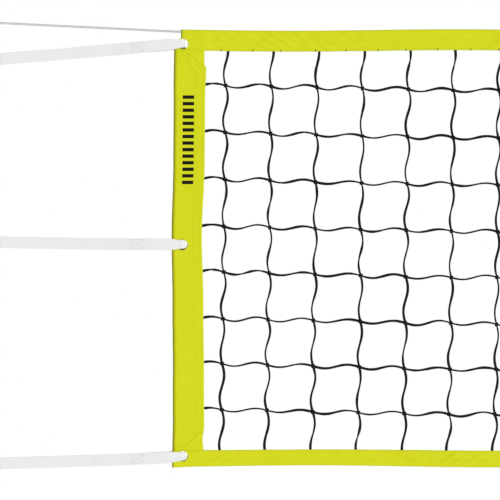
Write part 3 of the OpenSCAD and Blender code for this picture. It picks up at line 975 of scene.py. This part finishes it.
def eye_frame(side, p):
    """From an eye's own frame (towards the net, up) to the net's."""
    t = math.radians(RISE)
    a, u = p[..., 0], p[..., 1]
    x = a * math.cos(t) + u * math.sin(t)
    z = u * math.cos(t) - a * math.sin(t)
    at = EYE[side]
    return np.stack([at[0] + SIDES[side] * x, np.full_like(x, at[1]), at[2] + z], -1)


def headline_path(side):
    """From inside the hem, along the free length, round the thimble and back beside itself."""
    bend = FERRULE_X - 2 * MM
    low = -math.degrees(math.acos(TURN_R / bend))
    high = math.degrees(math.atan2(LEG_GAP, bend) + math.acos(TURN_R / math.hypot(bend, LEG_GAP)))
    reach = FREE_RUN / math.cos(math.radians(RISE))
    leg = np.linspace(reach - 4 * MM, FERRULE_X - 4 * MM, 60)
    leg = np.stack([np.append(reach, leg), np.zeros(61)], -1)
    turn = arc(0, 0, TURN_R, low, high - 360, 40)
    tail = np.linspace(FERRULE_X - 4 * MM, FERRULE_X + FERRULE_L + 4.5 * MM, 14)
    tail = np.stack([tail, np.full(14, LEG_GAP)], -1)
    p = eye_frame(side, np.concatenate([leg, turn, tail]))
    inner = p[0] + SIDES[side] * np.array([[0.034, 0, 0], [0.016, 0, 0]])
    inner[:, 2] = p[0, 2]
    return np.concatenate([inner, p])


headlines = {}
for s in SIDES:
    fine = soften(headline_path(s), 2.0 * MM, 2)
    b = Build()
    tube(b, fine, CABLE_R, sides=14)
    line = dress(b.object(f"headline_{s}_end"), CABLE)
    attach(line, "net")
    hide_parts(f"headline_eye_{s}")
    hem_end = TOP_X0 if s == "left" else TOP_X1
    start = next(i for i, q in enumerate(fine) if abs(q[0] - hem_end) < 2 * MM)
    headlines[s] = (line, fine, start)
core = Build()
xs = np.linspace(NET_X0 + 0.034, NET_X1 - 0.034, 400)
z_core = sway("top", xs) * smooth(np.minimum(xs - NET_X0, NET_X1 - xs), 0.03, 0.09)
z_core = z_core + headline_path("left")[0, 2]
tube(core, np.stack([xs, np.zeros(400), z_core], -1), CABLE_R * 0.97, sides=10)
core_obj = dress(core.object("headline_in_hem"), CABLE)
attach(core_obj, "net")
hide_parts("headline_cable")

for s in SIDES:
    for part, mat in (("thimble", STEEL), ("ferrule", ALU)):
        dress(frame["nodes"][f"headline_{part}_{s}"], mat)
    line, route, start = headlines[s]


# ---------------- eyelets with rolled lips
def lathe(build, at, profile, n=64, skew=(0, 0)):
    """Turns (radius, y) round an axis along Y through at; the profile is closed. Its third column, UV x,
    is the share of skew by which a ring is off the axis, in X and Z."""
    a = np.arange(n) * TURN / n
    pr = np.array([tuple(q) + (0.0,) * (3 - len(q)) for q in profile + [profile[0]]])
    r, y, share = pr.T[:, :, None]
    p = np.stack(np.broadcast_arrays(at[0] + skew[0] * share + r * np.cos(a), at[1] + y,
                                     at[2] + skew[1] * share + r * np.sin(a)), -1)
    build.grid(p, np.stack(np.broadcast_arrays(share, a[None] / (TURN)), -1), wrap=True)


def lip(r0, r1, y, h, out, n=9):
    """A rolled lip's section from its inner to its outer edge, on a face at y, h proud towards out."""
    t = np.linspace(0, np.pi, n)
    mid, half = (r0 + r1) / 2, (r1 - r0) / 2
    return [(mid - half * math.cos(k), y + out * h * math.sin(k) ** 0.75) for k in t]


for s in SIDES:
    barrel, back = Build(), Build()
    for level in LEVELS:
        at = hole(level, s)
        stack = (SIDE_HALF if level == "mid" else HEM_HALF) + 0.02 * MM
        r_in, r_out = EYELET_R, EYELET_R + 0.75 * MM
        front, far = lip(r_in, FLANGE_R, -stack, 0.8 * MM, -1), stack + 0.7 * MM
        # the far end of the bore is clinched a little tighter and off centre
        lathe(barrel, at, [(r_in - 0.3 * MM, far, 1.0)] + front +
              [(FLANGE_R - 0.4 * MM, -stack), (r_out, -stack), (r_out, far)],
              skew=(-0.6 * SIDES[s] * MM, 2.6 * MM))
        rear = lip(r_out + 0.05 * MM, FLANGE_R, stack, 1.0 * MM, 1)
        lathe(back, at, rear[::-1])
    e = dress(barrel.object(f"eyelets_{s}_rolled"), EYELET)
    w = dress(back.object(f"eyelet_washers_{s}_rolled"), EYELET)
    for o, node in ((e, f"eyelets_{s}"), (w, f"eyelet_washers_{s}")):
        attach(o, "net")
        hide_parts(node)


# ---------------- seams, lacing and print
def stitch_line(build, points, pitch, r, face):
    """Stitches along a line of points on one face of the cloth."""
    d = run_length(points)
    n = max(2, round(d[-1] / pitch))
    t = (np.arange(n) + 0.5) / n * d[-1]
    behind, at, ahead = (np.stack([np.interp(t + off, d, points[:, i]) for i in range(3)], -1)
                         for off in (-0.5 * MM, 0, 0.5 * MM))
    up = np.tile([0.0, face, 0.0], (n, 1))
    capsule_row(build, at + up * r * 0.35, unit(ahead - behind), r, pitch * 0.66, up)


for level, x0, x1 in (("top", TOP_X0, TOP_X1), ("bottom", NET_X0, NET_X1)):
    crest, h = HEMS[level][:2]
    left, right = pivot(level, "left"), pivot(level, "right")
    for face, label in ((-1, "near"), (1, "far")):
        b = Build()
        xs = np.linspace(x0 + 4 * MM, x1 - 4 * MM, 4000)
        for down in (SEAM_DOWN[level], h - EDGE_SEAM):
            # a seam stops either side of the eyelets
            keep = np.ones(len(xs), bool)
            if abs(down - abs(crest - left[2])) < FLANGE_R + 2 * MM:
                keep = np.minimum(abs(xs - left[0]), abs(xs - right[0])) > FLANGE_R + 2 * MM
            pts = hem_face(level, xs, down, face)
            edges = np.flatnonzero(np.diff(keep.astype(int)))
            for run in np.split(np.arange(len(xs)), edges + 1):
                if keep[run[0]] and len(run) > 8:
                    stitch_line(b, pts[run], 7 * MM, 0.30 * MM, face)
        o = dress(b.object(f"{level}_tape_stitches_{label}"), THREAD)
        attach(o, "net")

for s in SIDES:
    b = Build()
    for face in (-1, 1):
        z = np.linspace(TOP_EDGE - 3 * MM, BOTTOM_EDGE + 3 * MM, 900)
        for w in (47 * MM, 60 * MM):
            stitch_line(b, side_surface(s, z, np.full_like(z, w), face), 5 * MM, 0.28 * MM, face)
    o = dress(b.object(f"side_tape_{s}_stitches"), THREAD)
    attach(o, "net")

# black lacing: short turns of cord that tie the netting's edge cord to the top tape
b = Build()
xs = np.arange(NET_X0 + SIDE_W + 40 * MM, NET_X1 - SIDE_W - 20 * MM, 68 * MM)
xs = xs + rng.uniform(-6, 6, len(xs)) * MM
for face in (-1, 1):
    at = hem_face("top", xs, HEMS["top"][1] - 1.6 * MM, face)
    slant, up = (np.tile(v, (len(xs), 1)) for v in ([0.25, 0, 0.97], [0.0, face, 0.0]))
    capsule_row(b, at, slant, 0.8 * MM, 5.0 * MM, up, sides=6)
lacing = dress(b.object("netting_lacing"), CORD)
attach(lacing, "net")

# a plain printed ladder of bars
PRINT_TOP, PRINT_LEN, BARS, BAR_H = 144 * MM, 202 * MM, 14, 7.6 * MM
for s in SIDES:
    bars = []
    for i in range(BARS):
        z = NET_TOP - PRINT_TOP - i * PRINT_LEN / BARS
        Z, W = np.meshgrid(np.linspace(z, z - BAR_H, 6), np.linspace(20 * MM, 43 * MM, 12), indexing="ij")
        p = side_surface(s, Z, W, -1, lift=0.10 * MM)
        bars.append(shell("bar", p, 0.08 * MM, SIDES[s]))
    mark = dress(join(f"side_tape_{s}_print", bars), INK)
    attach(mark, "net")


# ---------------- tapes, netting and line join the object
for tape, node, flat, under in (
        (top_tape, "top_tape", (0.097, TOP_X1 - TOP_X0), "headline_in_hem"),
        (bottom_tape, "bottom_tape", (0.077, NET_L), "netting")):
    uv = np.empty(2 * len(tape.data.loops))
    tape.data.uv_layers[0].data.foreach_get("uv", uv)
    # the tape's own length, over which painted shade darkens both turned-in ends
    dress(tape, vinyl(f"coated_{node}", length=float(uv[::2].max())))
    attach(tape, "net")
    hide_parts(node)
for s in SIDES:
    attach(side_tapes[s], "net")
    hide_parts(f"side_tape_{s}")
for (level, s), o in patches.items():
    dress(o, TAPE)
    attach(o, "net")
    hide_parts(f"corner_patch_{level}_{s}")
for o in (net_v, net_h, net_k):
    dress(o, CORD)
    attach(o, "net")
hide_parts("netting")
line_lo, line_hi = lo_hi("bottom_line")
xs = np.linspace(line_lo[0], line_hi[0], 700)
lay = Build()
line_z = (line_lo[2] + line_hi[2]) / 2 + sway("bottom", xs)
tube(lay, np.stack([xs, np.zeros(700), line_z], -1), (line_hi[1] - line_lo[1]) / 2, sides=10)
bottom_line = dress(lay.object("bottom_line_laid"), LINE)
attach(bottom_line, "net")
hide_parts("bottom_line")


# ---------------- floor, light and air
floor_mesh = Build()
floor_mesh.grid(np.array([[[x, y, -2.45] for y in (-14.0, 14.0)] for x in (-20.0, 30.0)]))
floor = floor_mesh.object("floor", smooth=False)
n = Nodes("floor_white")
n.set(Base_Color=(0.9, 0.9, 0.9, 1), Roughness=0.8, Emission_Color=(1, 1, 1, 1), Emission_Strength=0.12)
floor.data.materials.append(n.mat)


def sun(name, towards, strength, soft):
    """Even light along the whole net, shining in the direction towards; soft is its spread in degrees."""
    light = bpy.data.lights.new(name, "SUN")
    light.energy, light.angle = strength, math.radians(soft)
    o = bpy.data.objects.new(name, light)
    bpy.context.scene.collection.objects.link(o)
    o.rotation_euler = Vector(towards).to_track_quat("-Z", "Y").to_euler()


sun("key", (-0.75, 1.0, -0.10), 1.75, 12)
sun("rear", (0.3, -1.0, -0.35), 1.1, 20)

world = bpy.data.worlds.new("air")
bpy.context.scene.world = world
world.use_nodes = True
wt = world.node_tree
bg = wt.nodes["Background"]
bg.inputs["Color"].default_value = (1, 1, 1, 1)
bg.inputs["Strength"].default_value = 0.44
seen = wt.nodes.new("ShaderNodeBackground")
seen.inputs["Color"].default_value = (1, 1, 1, 1)
path = wt.nodes.new("ShaderNodeLightPath")
mix = wt.nodes.new("ShaderNodeMixShader")
wt.links.new(path.outputs["Is Camera Ray"], mix.inputs[0])
wt.links.new(bg.outputs[0], mix.inputs[1])
wt.links.new(seen.outputs[0], mix.inputs[2])
wt.links.new(mix.outputs[0], wt.nodes["World Output"].inputs["Surface"])
bpy.context.scene.view_settings.view_transform = "Standard"
